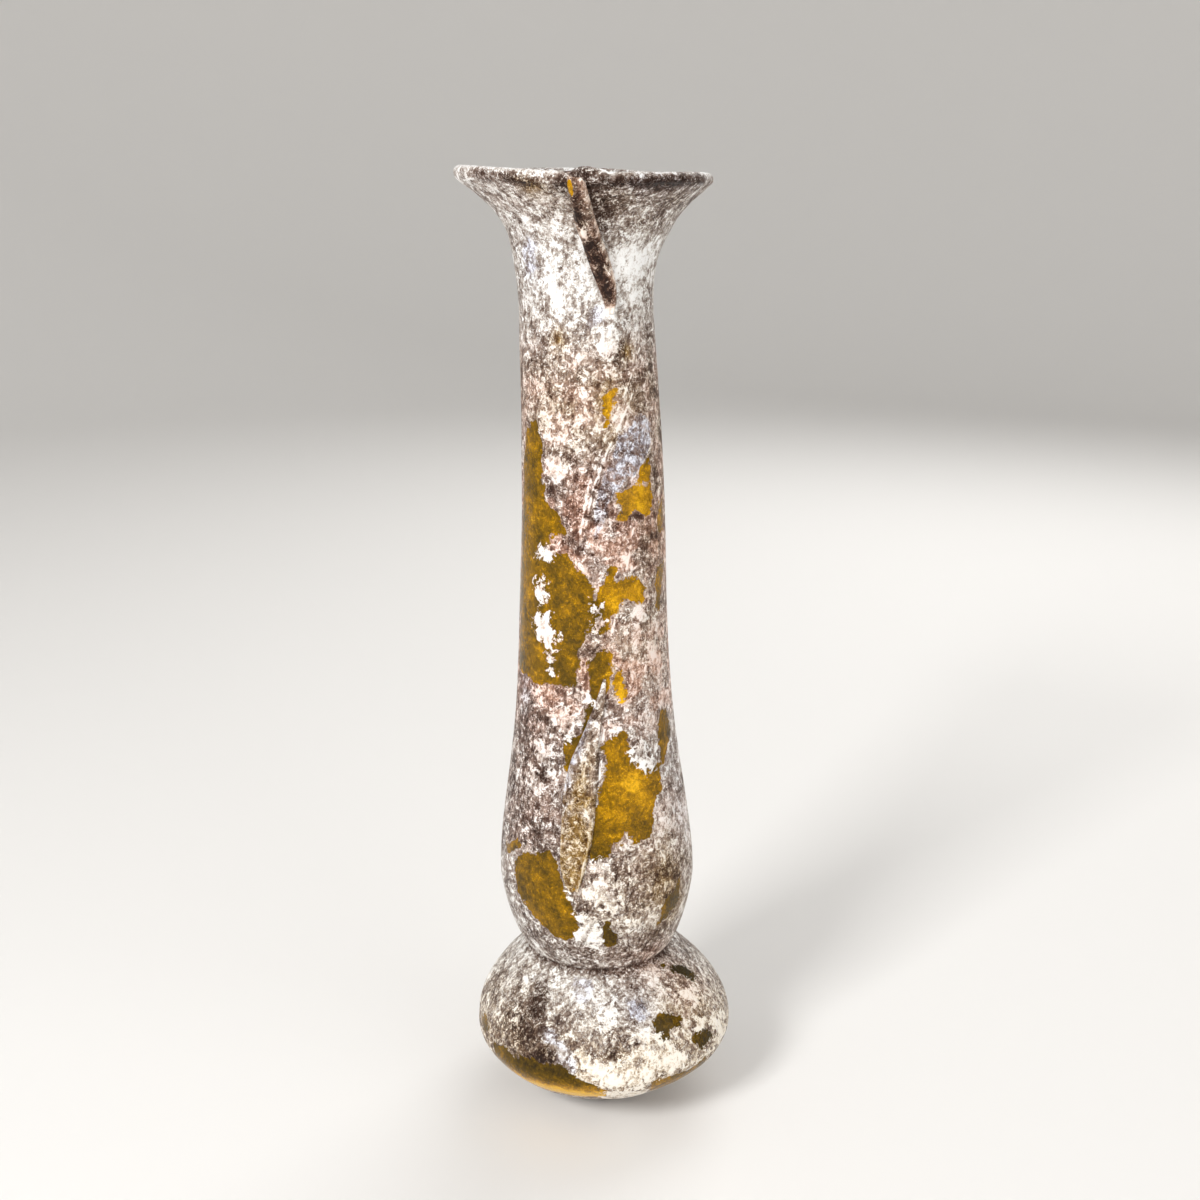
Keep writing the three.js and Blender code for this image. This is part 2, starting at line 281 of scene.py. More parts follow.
# Outlines of the finishes, as (azimuth in degrees, height in millimetres)
bareGlass = {
    "leftWindow": [(-66, 134.3), (-50, 136.2), (-40, 133.1), (-41, 130), (-44, 125.8), (-39, 122.7),
                   (-29, 121.5), (-26, 119.4), (-23, 117.4), (-32, 116.3), (-39, 115.1), (-46, 112.8),
                   (-39, 111.6), (-29, 113.5), (-21, 113.6), (-18, 112), (-11, 110.3), (-2, 108.7),
                   (2, 107.4), (1, 105), (-2, 101.9), (-3, 99.4), (-6, 96.9), (-10, 94.3), (-10, 91.8),
                   (-12, 88.7), (-20, 88.5), (-28, 89.2), (-38, 88.5), (-57, 88.3), (-78, 89), (-80, 100),
                   (-78, 112), (-74, 124)],
    "midGold": [(1, 105.2), (7, 108.4), (8, 109.9), (12, 111.2), (18, 110.7), (18, 108.8), (25, 108.8),
                (34, 109.3), (42, 107.5), (44, 104.8), (45, 103), (33, 103.3), (26, 104.3), (20, 103.1),
                (13, 101.9), (11, 99.9), (4, 98.6), (-4, 99), (-6, 102.4), (-4, 105)],
    "topSpot": [(11, 141.6), (22, 142.5), (21, 140.1), (17, 137.8), (12, 136.3), (10, 138.3)],
    "rightGold": [(16, 124.1), (24, 125), (36, 125.1), (52, 125), (54, 122.8), (50, 119.7), (42, 119.5),
                  (33, 120.7), (26, 118.9), (20, 119.6), (22, 121.5), (17, 122.3)],
    "upperGold": [(42, 128.5), (51, 129.8), (52, 125.4), (38, 125.7)],
    "rightEdgeUpper": [(62, 121.1), (75, 121.5), (72, 115.6), (63, 115.6), (61, 118.7)],
    "rightEdgeLower": [(57, 110), (72, 109.5), (67, 104.6), (63, 101.2), (55, 102), (58, 106.2)],
    "arch": [(-4, 93.8), (3, 95.8), (13, 95), (15, 91.7), (10, 88.1), (7, 85.6), (1, 82), (-5, 78.9),
             (-10, 74.8), (-15, 71.8), (-21, 73.2), (-23, 76.8), (-21, 79.1), (-14, 79.8), (-11, 81.2),
             (-7, 83.8), (-4, 86.4), (-3, 89.2), (-4.5, 91.7)],
    "smallDrop": [(13, 91), (20, 91.6), (26, 89), (26, 86.2), (20, 85.4), (14, 87.2)],
    "lowerLeft": [(-58, 53.2), (-50, 55.2), (-39, 56.1), (-28, 58.2), (-24, 57), (-22, 54.1), (-18, 51.3),
                  (-14, 49), (-11, 45.9), (-11, 42.6), (-14, 40.7), (-19, 39.2), (-26, 40), (-35, 42),
                  (-44, 43.8), (-52, 46.6), (-57, 50.2)],
    "lowerRight": [(6, 78.6), (12, 80.1), (19, 80.9), (24, 80.5), (26, 78), (33, 75.2), (43, 72.4),
                   (49, 72.6), (49, 69.2), (46, 67), (40, 64.1), (36, 60.5), (29, 58.6), (22, 58.5),
                   (19, 61.1), (15, 59.6), (9, 58.1), (4, 56.9), (-3, 57), (-5, 57.7), (-2, 62),
                   (2, 70.1), (5, 74.8)],
    "rightStrip": [(51, 79.9), (57, 83.3), (66, 81.5), (67, 77.4), (58, 73.4), (54, 72.2), (50, 74.1)],
    "lowSpot": [(1, 43.9), (6, 43.6), (14, 41.3), (13, 38.9), (4, 38.6), (1, 41)],
    "farLeftLow": [(-70, 54.4), (-56, 57), (-48, 57.5), (-52, 55.3), (-65, 53.1)],
    "oliveRight": [(54, 48.5), (58, 49.4), (57, 44.8), (48, 42.1), (40, 41), (42, 44.6), (48, 46.6)],
    "footLeft": [(-58, 15.2), (-51, 16.8), (-42, 16.4), (-30, 17), (-18, 17), (-9, 15), (2, 12.8),
                 (2, 9), (-13, 8), (-29, 8), (-47, 8.5), (-58, 11)],
    "footRight": [(21, 13.5), (33, 14), (43, 13.8), (51, 14.4), (53, 11.9), (47, 9.5), (33, 9), (24, 9.8)],
    "footFarLeft": [(-78, 17.2), (-71, 18.5), (-63, 16.7), (-66, 15.3), (-72, 15.9)],
    "footTopRight": [(44, 30.9), (56, 30.6), (68, 28.8), (73, 26.4), (64, 27.1), (54, 29.2)],
    "footOlive": [(27, 24.6), (35, 24.7), (43, 23.4), (40, 21.6), (33, 21.7), (31, 20.2), (27, 20.5),
                  (26, 23.1)],
    "footOliveRight": [(45, 20.2), (51, 19.6), (57, 19), (59, 17), (54, 16.5), (47, 16.2), (44, 18.3)],
    "backUpper": [(150, 140), (172, 143), (190, 138), (186, 128), (194, 116), (180, 110), (160, 113),
                  (152, 126)],
    "backLower": [(120, 84), (146, 90), (168, 86), (176, 74), (160, 66), (138, 68), (122, 74)],
    "backSide": [(-120, 106), (-104, 110), (-98, 98), (-104, 88), (-122, 90)],
    "backSwell": [(-160, 58), (-140, 62), (-120, 58), (-118, 48), (-136, 43), (-156, 46)],
    "backFoot": [(-170, 13), (-140, 15), (-120, 12), (-124, 9), (-160, 8)],
    "rightSide": [(88, 132), (104, 136), (110, 124), (100, 116), (90, 120)],
    "rightLow": [(84, 62), (100, 66), (112, 60), (104, 50), (88, 52)],
}
crustPatches = {
    "islandTop": [(-49, 112.7), (-40, 114.1), (-30, 113.7), (-29, 111.9), (-36, 111.1)],
    "islandMiddle": [(-50, 107.4), (-41, 108.3), (-37, 107.2), (-38, 104.4), (-45, 103.3), (-49, 105.1)],
    "islandLow": [(-53, 100.3), (-42, 102.1), (-33, 101.8), (-28, 99.9), (-22, 97.6), (-26, 96.5),
                  (-31, 97.3), (-29, 94.3), (-30, 90.9), (-34, 90.3), (-37, 93.4), (-41, 96.8),
                  (-50, 97.9)],
    "tubeTopLeft": [(-48, 138.4), (-36, 139), (-30, 135.6), (-34, 133.2), (-44, 133.6)],
    "tubeDab": [(-17, 136.6), (-7, 136.6), (-5, 133.4), (-12, 130.8), (-18, 133)],
    "tubeSilver": [(-39, 130.2), (-26, 131.5), (-19, 130.1), (-22, 127.2), (-30, 126), (-39, 127.7)],
    "tubeLowDab": [(0, 119.7), (7, 120.4), (12, 118.4), (2, 116.7), (-1, 117.8)],
    "rightStreak": [(44, 96.4), (56, 97.5), (56, 93.9), (48, 91.3), (39, 90.5), (42, 94)],
    "midIsland": [(-1, 104.2), (7, 104.6), (10, 101), (6, 97.6), (-2, 98.6)],
    "rightDab": [(35, 102.7), (45, 102.4), (44, 100.8), (37, 100.8)],
    "sashMain": [(-36, 84.6), (-24, 85.6), (-16, 84.4), (-8, 85.4), (-9, 83), (-13, 80.6), (-17, 78.8),
                 (-23, 78.6), (-29, 81), (-36, 82.5)],
    "sashTop": [(-16, 88.1), (-1, 88.9), (-2, 85.5), (-8, 85.2), (-14, 86.5)],
    "sashLeft": [(-53, 87.6), (-43, 87.2), (-42, 84.4), (-50, 84.2)],
    "sashDabLow": [(-51, 77.6), (-40, 78.8), (-28, 76.8), (-30, 73.2), (-42, 73)],
    "dabLeft": [(-50, 72.4), (-42, 73.2), (-34, 70.4), (-36, 66.8), (-48, 68.2)],
    "dabLeftRight": [(-38, 74.6), (-27, 74.4), (-26, 70.4), (-35, 70)],
    "windowIsland": [(23, 76.2), (29, 77.4), (34, 77.8), (38, 75.9), (44, 73.9), (44, 72.4), (36, 71.4),
                     (30, 73), (25, 74.1)],
    "lowerCrust": [(-4, 56.2), (4, 57.2), (10, 55.1), (14, 52.5), (12, 49.6), (16, 48.4), (13, 44.8),
                   (7, 45.2), (2, 46.9), (-4, 47.7), (-10, 48.6), (-8, 51.2), (-3, 52.8)],
    "lowerLeftCrust": [(-18, 50.3), (-14, 49.6), (-11, 47), (-3, 45.6), (3, 43.8), (3, 39.8), (-2, 37.8),
                       (-10, 39.1), (-13, 40.8), (-10, 44.1), (-14, 47.1)],
    "lowerRightDab": [(28, 58.5), (39, 58.7), (41, 56), (35, 56.1)],
    "lowerRightLow": [(18, 43.4), (27, 44.3), (30, 41.3), (23, 40.6), (18, 41.6)],
    "rightOfLeaf": [(8, 81.9), (16, 83.6), (21, 82.5), (17, 81), (9, 79.7)],
    "scar": [(6, 151.8), (13, 153.6), (23, 153.1), (30, 150.8), (25, 148.6), (17, 148), (8, 149.1)],
    "rimLeft": [(-111, 179.9), (-44, 179.8), (-29, 179.8), (-8, 179.6), (-7, 178.2), (-28, 178.4),
                (-56, 178.2), (-67, 176.2), (-90, 176.2), (-111, 176.6)],
    "rimDab": [(3, 178.9), (7, 179.6), (11, 178.8), (11, 177.2), (7, 176.8), (3, 177.2)],
    "rimRightDab": [(12, 176), (19, 176.6), (23, 175.3), (19, 175), (13, 175.1)],
    "backSash": [(130, 108), (160, 110), (200, 104), (210, 96), (180, 94), (150, 99), (132, 98)],
    "backLow": [(-170, 72), (-150, 78), (-128, 74), (-136, 66), (-160, 64)],
    "backNeck": [(100, 160), (140, 166), (170, 162), (160, 152), (120, 150)],
}
creamCrust = {
    "footSheet": [(2, 20.2), (9, 21.2), (18, 22.9), (24, 23.7), (26, 22.3), (26, 20.7), (32, 21),
                  (36, 18.5), (43, 17.1), (39, 15.7), (29, 14.5), (22, 14.9), (18, 12.7), (11, 12.2),
                  (2, 13), (-5, 15.5), (-12, 17.2), (-17, 17.8), (-16, 19.6), (-10, 20.7), (-2, 19.2),
                  (6, 18.4)],
    "footRight": [(51, 21.5), (61, 21), (74, 17.9), (71, 14.6), (61, 14.1), (54, 14.2), (49, 16.4),
                  (59, 17), (58, 18.8), (51, 19.6), (45, 20.2)],
    "footRightUpper": [(46, 26.3), (60, 26), (66, 23.5), (62, 21.9), (52, 23), (48, 24.8)],
    "footCentre": [(0, 27.1), (8, 27.4), (8, 24), (4, 22.9), (-1, 23.3)],
    "footLeft": [(-60, 27.8), (-49, 28.7), (-45, 27.3), (-50, 26.1)],
    "footUnder": [(2, 12.6), (18, 12.4), (24, 9.4), (22, 6), (8, 5), (0, 8)],
    "footBack": [(140, 24), (165, 26), (200, 20), (210, 13), (180, 12), (150, 15)],
    "footSide": [(-110, 22), (-92, 24), (-88, 17), (-104, 14)],
}
darkGlass = {
    "footLeftSpot": [(-46, 28), (-36, 28.8), (-30, 27), (-32, 23.6), (-42, 23.4)],
    "footDot": [(22, 26.8), (27, 26.6), (26, 25.8), (22, 26)],
    "footSmudge": [(-35, 17.8), (-29, 19.9), (-22, 20.1), (-20, 17.7), (-23, 15.9), (-33, 15), (-42, 14.7)],
    "footGrey": [(-4, 20.1), (2, 21.4), (7, 20.9), (9, 20), (5, 18.5), (0, 19.3)],
    "footStar": [(22, 16), (28, 15.9), (28, 14.2), (24, 14)],
    "rimLeftSpot": [(-55, 178.9), (-45, 179.2), (-41, 177.6), (-46, 176.2), (-54, 176.6)],
    "rimLeftStreak": [(-36, 178.4), (-23, 178.4), (-20, 176.4), (-26, 175.9), (-34, 176.8)],
    "rimBand": [(10, 178.9), (66, 178.9), (66, 176.9), (42, 176.3), (26, 176.4), (10, 176.6)],
    "rimKnot": [(-13, 180.4), (0, 180.4), (6, 179), (6, 175.8), (-4, 175.2), (-13, 175.8)],
    "neckSlit": [(30, 155.7), (36, 156.1), (38, 154.2), (33, 153.3)],
    "footBackSpot": [(170, 24), (182, 25), (186, 21), (174, 20)],
    "sideSpot": [(-100, 132), (-92, 134), (-90, 130), (-97, 128)],
}
blueFilm = {
    "shardUpper": [(-30, 22.6), (-23, 22.4), (-23, 20.4), (-28, 20.6)],
    "shardLower": [(-23, 21.2), (-16, 21.4), (-13, 18.9), (-14, 16.6), (-20, 17)],
    "footLilac": [(16, 27.5), (24, 27.1), (25, 25.1), (19, 24.3), (16, 25.7)],
    "footBlueGrey": [(-18, 30.1), (-8, 30.3), (-6, 27.8), (-15, 27.5)],
    "neckBlue": [(-55, 167), (-39, 167.1), (-38, 162.7), (-55, 162)],
    "belowStrap": [(1, 156.2), (14, 156.2), (14, 153.6), (2, 153.5)],
    "lilacBand": [(24, 134.4), (40, 137.3), (60, 136.8), (54, 130.8), (37, 127.8), (22, 124.7), (15, 124.9),
                  (13, 120.6), (2, 116.7), (-1, 120.6), (5, 124.9), (14, 129.7)],
    "backBlue": [(120, 128), (140, 132), (150, 122), (128, 118)],
}
scratches = [
    [(-10, 117), (-3, 125.5), (9, 133), (33, 143), (50, 150)],
    [(-7, 117), (0, 125), (12, 131.6), (36, 141)],
    [(-3, 57.6), (0, 66), (6, 78), (10, 88)],
    [(18, 60), (20, 52), (17, 47)],
    [(-9, 66.5), (4, 67.6)],
    [(-60, 118), (-45, 124), (-30, 133)],
    [(14, 99), (24, 108), (33, 118)],
    [(-75, 76), (-50, 68), (-30, 60)],
]
# Soft zones of the finish, each (azimuth, height, reach round in degrees, reach up in millimetres, amount).
# Level: how pale the film is, with painted shade in it: the strap's painted shadow on the flare, a dark
# band along the waist fold and a darker band under the swelling. Glow: painted light in the bare glass,
# brightest along the foot's lower edge and in the gold windows, and darker olive glass where it is below
# nought. Gold: how much its colour comes through the film. Mauve, warm and lilac: how rosy, creamy or blue
# the film is.
zones = {
    "level": [(36, 177.1, 32, 0.9, -0.36), (36, 179, 36, 0.5, 0.3), (-50, 177.8, 7, 1, -0.3),
              (-30, 177, 9, 1.1, -0.26), (-40, 179, 50, 0.7, 0.3), (4, 101, 6, 3, -0.3),
              # (0, 31.7): painted shade, a dark band along the waist fold all the way round
              (0, 31.7, 400, 0.7, -0.36), (-22, 163, 46, 9, 0.22), (45, 163, 34, 8, 0.25),
              # (9, 171) and (24, 169): the strap's painted shadow on the flare
              (48, 173, 40, 4.5, -0.17), (9, 171, 7, 6, -0.3), (24, 169, 9, 5, -0.12),
              (-50, 173, 30, 4, 0.03), (-10, 150, 60, 6, 0.06), (0, 138, 70, 8, 0.06),
              (40, 96, 34, 14, 0.12), (-44, 124, 14, 5, 0.05), (-56, 80, 26, 12, -0.1),
              (-52, 62, 30, 10, -0.12), (64, 62, 20, 16, 0.06), (8, 48, 26, 8, -0.02),
              # (0, 37): painted shade, a darker band on the underside of the swelling
              (0, 37, 90, 3.5, -0.12), (0, 27, 60, 5, 0.18), (14, 14.5, 34, 4, 0.16),
              (-45, 19, 28, 6, -0.16), (60, 28, 25, 5, -0.06), (-34, 20, 12, 5, -0.1),
              (-2, 178.6, 8, 2.2, -0.45), (-19, 19.3, 3, 1.8, 0.42), (-26, 21.4, 3, 0.9, 0.34),
              (0, 118, 24, 6, -0.06), (-26, 82, 18, 4, -0.08), (56, 25.5, 9, 3, -0.14),
              (180, 166, 90, 14, 0.16), (180, 60, 90, 30, 0.08), (180, 20, 90, 10, 0.12)],
    "glow": [(38, 122, 24, 6, 0.3), (26, 106, 20, 5, 0.26), (18, 88, 10, 5, 0.4), (26, 70, 20, 6, 0.26),
             (18, 60, 22, 5, -0.06), (-62, 120, 16, 16, 0.04), (-50, 96, 20, 9, 0.04),
             # (-14, 9.8) and (-26, 15.8): painted light, a bright band along the foot's lower edge, darker
             # above it
             (-8, 98, 18, 8, -0.06), (-40, 50, 20, 8, -0.06), (-14, 9.8, 34, 2.2, 0.72),
             (-26, 15.8, 34, 2.2, -0.26), (16, 139, 12, 5, 0.2), (-10, 84, 14, 6, -0.12),
             (64, 28, 16, 4, -0.44), (34, 22.5, 10, 3, -0.26), (52, 18, 10, 3, -0.36),
             (8, 41, 10, 4, -0.2), (50, 45, 14, 5, -0.1)],
    "mauve": [(0, 118, 400, 14, 1.2), (0, 90, 400, 10, 1.1), (0, 142, 400, 8, 0.6), (-50, 66, 60, 14, 0.4),
              (40, 60, 60, 14, 0.4), (56, 26, 20, 8, 0.6), (-30, 174, 60, 5, 0.2), (30, 34, 24, 4, 0.6)],
    "gold": [(-24, 150.5, 7, 2, 0.8), (35, 149, 7, 1.6, 0.8), (0, 139, 80, 9, 0.4), (16, 139, 10, 6, 0.6),
             (60, 118, 30, 24, 0.3), (20, 96, 40, 8, 0.2), (60, 46, 26, 10, 0.35), (52, 24, 20, 4, 0.5),
             (-60, 22, 26, 8, 0.2), (34, 175, 50, 5, 0.3), (-25, 176, 6, 1.5, 0.9),
             (180, 132, 80, 22, 0.35), (165, 58, 60, 18, 0.3), (40, 50, 18, 10, 0.5)],
    "warm": [(0, 14, 400, 12, 0.8), (14, 16, 50, 5, 0.9), (10, 48, 40, 10, 0.6)],
    "lilac": [(30, 130, 30, 9, 0.3), (-48, 164, 12, 5, 0.4), (-45, 124, 12, 4, 0.3), (36, 177, 26, 2, 0.6),
              (70, 60, 14, 14, 0.25), (20, 26, 10, 3, 0.4), (-62, 86, 10, 5, 0.6)],
}


# Lumps fused to the wall: azimuth, height, reach round and up, rise, all but the first in millimetres
lumps = [
    (3, 178.2, 3.3, 1.7, 0.75),
    (1.2, 178.6, 1.6, 1.2, 0.25),
    (18, 151, 3.6, 4.1, 0.65),
]


# The largest of the signed distances to several outlines, positive inside any of them.
def strongest(patches, turn, radius, along):
    return np.max([insideOf(p, turn, radius, along) for p in patches.values()], axis=0)


# Sum of soft round zones: each adds its amount times a bell curve of the distance from its middle.
def bells(zoneList, across, up):
    total = 0
    for middleAcross, middleUp, reachAcross, reachUp, amount in zoneList:
        gap = (across - middleAcross + 180) % 360 - 180
        total = total + amount * np.exp(-((gap / reachAcross) ** 2) - ((up - middleUp) / reachUp) ** 2)
    return total


# The vessel: the profile turned round the axis, with waves of hand-blown unevenness and the crust's own
# thickness added along its outward side, then settled.
def makeVessel(material, liningMaterial):
    rows, columns = len(profile), flask["columns"]
    turn = np.linspace(0, 2 * math.pi, columns, endpoint=False)
    turn = (turn + math.pi) % (2 * math.pi) - math.pi
    slope = np.gradient(profile, axis=0)
    slope /= np.hypot(*slope.T)[:, None]
    out = np.stack([slope[:, 1], -slope[:, 0]], axis=1)
    r, z = profile[:, :1], profile[:, 1:]
    ring = np.stack([r * np.sin(turn), -r * np.cos(turn), z + 0 * turn], axis=-1)
    push = np.stack([out[:, :1] * np.sin(turn), -out[:, :1] * np.cos(turn), out[:, 1:] + 0 * turn], axis=-1)

    onOuter = np.zeros(rows)
    onOuter[: flask["outerRows"] + flask["rimRows"]] = 1
    path = np.concatenate([outerPath, outerPath[-1] + np.arange(1, flask["rimRows"] + 1) * 0.3,
                           np.full(flask["innerRows"], 1e3)])
    along = path[:, None] + 0 * turn
    wall = (turn + 0 * r, r + 0 * turn, along)
    hidden = np.clip((np.abs(np.degrees(turn)) - 75) / 20, 0, 1)
    crust = np.maximum(strongest(crustPatches, *wall), strongest(creamCrust, *wall))
    fields = {name: bells(zones[name], np.degrees(turn), z) for name in zones}
    fields["level"] += (cloud(ring, 6, 10, 2) - 0.5) * 0.3
    fields["bare"] = strongest(bareGlass, *wall) + (cloud(ring, 2.6, 5, 3) - 0.5) * 2.6
    fields["bare"] += hidden * (cloud(ring, 5, 15, 3) - 0.5) * 9
    fields["crust"] = crust + (cloud(ring, 2.2, 6, 3) - 0.5) * 2.4
    fields["dark"] = strongest(darkGlass, *wall) + (cloud(ring, 1.8, 8, 3) - 0.5) * 2
    fields["lilac"] += 0.7 * (strongest(blueFilm, *wall) + (cloud(ring, 3, 9, 3) - 0.5) * 3 > 0)
    fields["scratch"] = nearLines(scratches, r * turn, along)
    for name in ("bare", "crust", "dark"):
        fields[name] = np.clip(fields[name], -3, 3)

    soft = lambda a: 1 / (1 + np.exp(-4 * a))
    raised = soft(fields["crust"]) * (0.5 + cloud(ring, 1.1, 11, 3))
    film = 1 - soft(fields["bare"])
    relief = flask["crustRelief"] * raised + flask["filmRelief"] * film * cloud(ring, 0.9, 12, 2)
    relief += flask["scratchRelief"] * np.exp(-((fields["scratch"] / 0.3) ** 2))
    for azimuth, height, reachRound, reachUp, rise in lumps:
        gap = np.radians((np.degrees(turn) - azimuth + 180) % 360 - 180) * r
        dome = 1 - (gap / reachRound) ** 2 - ((z - height) / reachUp) ** 2
        relief += rise * np.sqrt(np.clip(dome, 0, 1))
    calm = np.clip(z / 6, 0, 1)  # the ring stays flat on the floor
    lift = onOuter[:, None] * calm * (relief - flask["reliefSunk"] + unevenness(ring))
    points = settle(ring + push * lift[..., None])
    points = np.clip(points, np.array(cadLow) * 1000, np.array(cadHigh) * 1000)

    inner = points[1:-1].reshape(-1, 3)
    verts = np.concatenate([points[0].mean(0)[None], inner, points[-1].mean(0)[None]]) / 1000
    i, j = np.meshgrid(np.arange(rows - 3), np.arange(columns), indexing="ij")
    nextJ = (j + 1) % columns
    at = lambda i, j: 1 + i * columns + j
    quads = np.stack([at(i, j), at(i, nextJ), at(i + 1, nextJ), at(i + 1, j)], axis=-1).reshape(-1, 4)
    j = np.arange(columns)
    last = len(verts) - 1
    cap = np.stack([0 * j, at(0, (j + 1) % columns), at(0, j)], axis=1)
    floor = np.stack([0 * j + last, at(rows - 3, j), at(rows - 3, (j + 1) % columns)], axis=1)

    mesh = bpy.data.meshes.new("vesselBody")
    mesh.from_pydata(verts.tolist(), [], cap.tolist() + quads.tolist() + floor.tolist())
    for name, value in fields.items():
        full = np.concatenate([value[0][:1], value[1:-1].ravel(), value[-1][:1]])
        mesh.attributes.new(name, "FLOAT", "POINT").data.foreach_set("value", full.astype(np.float32))
    mesh.materials.append(material)
    mesh.materials.append(liningMaterial)
    linedFrom = flask["outerRows"] + flask["rimRows"] + flask["filmedInnerRows"]
    lining = np.repeat(np.arange(rows - 3) >= linedFrom, columns)
    slots = np.concatenate([np.zeros(columns), lining, np.ones(columns)]).astype(np.int32)
    mesh.polygons.foreach_set("material_index", slots)
    mesh.polygons.foreach_set("use_smooth", np.ones(len(slots), bool))
    mesh.update()
    piece = bpy.data.objects.new("vesselBody", mesh)
    bpy.context.collection.objects.link(piece)
    return piece


# A trail of glass laid along the wall: stations carry azimuth, height, stand-off, width and thickness.
# Each section is a closed loop: the top follows a roof line across the width, the underside is flat.
def makeTrail(name, shape, rows, material):
    roof, buried = shape["roof"], shape["buried"]
    line = throughStations(shape["stations"], rows)
    azimuth, height, off, width, thick = line.T
    v = np.linspace(-1, 1, len(roof) * 4)
    top = np.interp(v, np.linspace(-1, 1, len(roof)), roof)
    v = np.concatenate([v, v[::-1][1:-1:4]])
    rise = np.concatenate([top, np.full(len(v) - len(top), -buried)])
    angle = np.radians(azimuth)
    wall = radiusAt(height)
    centre = np.stack([(wall + off) * np.sin(angle), -(wall + off) * np.cos(angle), height], axis=1)
    away = np.stack([np.sin(angle), -np.cos(angle), 0 * angle], axis=1)
    along = np.gradient(centre, axis=0)
    along /= np.linalg.norm(along, axis=1)[:, None]
    across = np.cross(along, away)
    across /= np.linalg.norm(across, axis=1)[:, None]
    out = np.cross(across, along)
    sideways = np.stack([np.cos(angle), np.sin(angle), 0 * angle], axis=1)
    side = across * np.sign((across * sideways).sum(1))[:, None]
    ring = centre[:, None] + side[:, None] * (v[:, None] * width[:, None, None] / 2) \
        + out[:, None] * (rise[:, None] * thick[:, None, None])
    stray = unevenness(centre)[:, None, None] * away[:, None]
    ripple = (cloud(ring * [1, 1, 0.4], 0.8, 21, 3) - 0.5)[..., None] * out[:, None] * flask["trailRipple"]
    points = settle(ring + stray + ripple * (rise > 0)[:, None])
    points = np.clip(points, np.array(cadLow) * 1000, np.array(cadHigh) * 1000) / 1000
    rows, count = points.shape[:2]
    verts = np.concatenate([points.reshape(-1, 3), points[0].mean(0)[None], points[-1].mean(0)[None]])
    i, j = np.meshgrid(np.arange(rows - 1), np.arange(count), indexing="ij")
    k = (j + 1) % count
    quads = np.stack([i * count + j, (i + 1) * count + j, (i + 1) * count + k, i * count + k], axis=-1)
    quads = quads.reshape(-1, 4)
    j = np.arange(count)
    k = (j + 1) % count
    first = np.stack([0 * j + rows * count, j, k], axis=1)
    last = np.stack([0 * j + rows * count + 1, (rows - 1) * count + k, (rows - 1) * count + j], axis=1)
    mesh = bpy.data.meshes.new(name)
    mesh.from_pydata(verts.tolist(), [], quads.tolist() + first.tolist() + last.tolist())
    u = np.repeat(np.linspace(0, 1, rows), count)
    u, v = np.concatenate([u, [0, 1]]), np.concatenate([np.tile(v, rows), [0, 0]])
    for field, (base, zoneList) in shape["finish"].items():
        value = base + bells(zoneList, v, u) + 0 * u
        mesh.attributes.new(field, "FLOAT", "POINT").data.foreach_set("value", value.astype(np.float32))
    mesh.materials.append(material)
    mesh.polygons.foreach_set("use_smooth", np.ones(len(mesh.polygons), bool))
    check = bmesh.new()
    check.from_mesh(mesh)
    bmesh.ops.recalc_face_normals(check, faces=check.faces)
    check.to_mesh(mesh)
    check.free()
    piece = bpy.data.objects.new(name, mesh)
    bpy.context.collection.objects.link(piece)
    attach(piece, "root")
    print(name, "done", len(mesh.polygons))
    return piece


# Stations: azimuth, height, stand-off, width, thickness. Finish: a base value and soft zones of
# (across from -1 to 1, down from 0 to 1, reach across, reach down, amount).
strap = {
    "stations": [(-3.5, 178.3, -0.6, 2.8, 0.8), (-2.8, 176.8, 0.7, 3.0, 0.8),
                 (-2.1, 174.0, 2.0, 3.3, 0.8), (-0.6, 170.6, 2.2, 3.5, 0.8), (3.7, 167.4, 1.3, 3.3, 0.8),
                 (10.4, 164.0, 0.55, 3.5, 0.8), (16.7, 160.6, 0.22, 3.3, 0.75),
                 (20, 157.8, 0.1, 2.5, 0.65), (20.5, 155.3, -0.2, 1.3, 0.5)],
    "roof": [0, 0.72, 0.98, 0.9, 0.8, 0.84, 1.0, 1.05, 0.75, 0],
    "buried": 0.7,
    "finish": {
        "level": (-0.16, [(0.2, 0.06, 2, 0.08, 0.12), (0.9, 0.5, 0.25, 0.6, 0.3),
                          # (-0.6, 0.42), with the crust spot at the same place: a painted white glint on the
                          # strap's left side
                          (-0.6, 0.42, 0.45, 0.05, 0.7), (0, 0.98, 2, 0.06, 0.5),
                          (0.3, 0.7, 0.3, 0.04, 0.5), (-0.7, 0.64, 0.3, 0.03, 0.5)]),
        "dark": (-3.0, [(-0.55, 0.34, 0.6, 0.14, 4.6), (-0.45, 0.56, 0.8, 0.12, 5.0),
                        (-0.2, 0.76, 1.0, 0.2, 5.2)]),
        # Bare amber glass at the strap's top left, made bright by the glow as a painted glint
        "bare": (-3.0, [(-0.8, 0.14, 0.5, 0.07, 5.0)]),
        # (-0.6, 0.42) is the painted white glint, made as crust
        "crust": (-3.0, [(-0.6, 0.42, 0.4, 0.05, 6.0), (0, 1, 2, 0.06, 4.6), (0.6, 0.02, 1, 0.05, 5.0)]),
        "mauve": (0.7, []),
        "glow": (0.25, []), "gold": (0.15, []), "warm": (0.3, []), "lilac": (0.0, []), "scratch": (9.0, []),
    },
}
